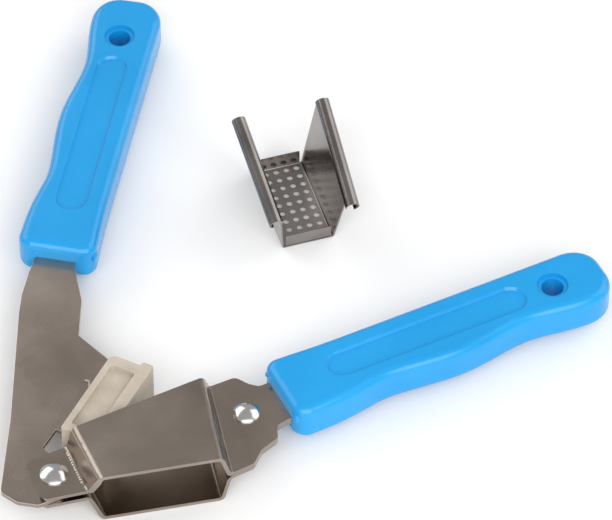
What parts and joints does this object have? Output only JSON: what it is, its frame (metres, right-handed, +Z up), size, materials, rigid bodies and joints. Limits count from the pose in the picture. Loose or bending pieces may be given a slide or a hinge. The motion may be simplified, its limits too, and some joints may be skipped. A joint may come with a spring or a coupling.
{
  "type": "garlic press",
  "caption": "Hand garlic press with a pivoting plunger arm, riveted open chamber, blue grips and a loose sieve basket.",
  "frame": {"origin": "middle of the whole part's bounding box in X and Y, on the table the press lies on", "axes": "+X along the chamber arm from the pivot to its handle, +Y towards the opened plunger arm, +Z up from the table"},
  "size_m": [0.206, 0.198, 0.0334],
  "materials": {
    "strap_steel": "satin",
    "plate_steel": "satin",
    "rivet_steel": "polished",
    "blue_plastic": "semi-gloss",
    "white_nylon": "satin, slightly translucent",
    "basket_steel": "bright"
  },
  "bodies": {
    "chamber_frame": {"upper_chamber_strap": "strap_steel", "lower_chamber_strap": "strap_steel", "pivot_rivet": "rivet_steel", "strap_rivet": "rivet_steel", "chamber_handle": "blue_plastic"},
    "plunger_arm": {"plunger_arm_plate": "plate_steel", "plunger_arm_handle": "blue_plastic", "plunger": "white_nylon"},
    "basket": {"sieve_basket": "basket_steel"}
  },
  "joints": [
    {"name": "arm_hinge", "type": "hinge", "parent": "chamber_frame", "child": "plunger_arm", "pos_m": [-0.08618, -0.07584, 0.01], "axis": [0, 0, 1], "range_deg": [-46, 0]},
    {"name": "basket_lift", "type": "slide", "parent": "chamber_frame", "child": "basket", "axis": [0, 0, 1], "range_m": [0, 0.1]}
  ],
  "couplings": [
    {"joint": "basket_lift", "follows": "arm_hinge", "m_per_rad": -0.1121}
  ]
}
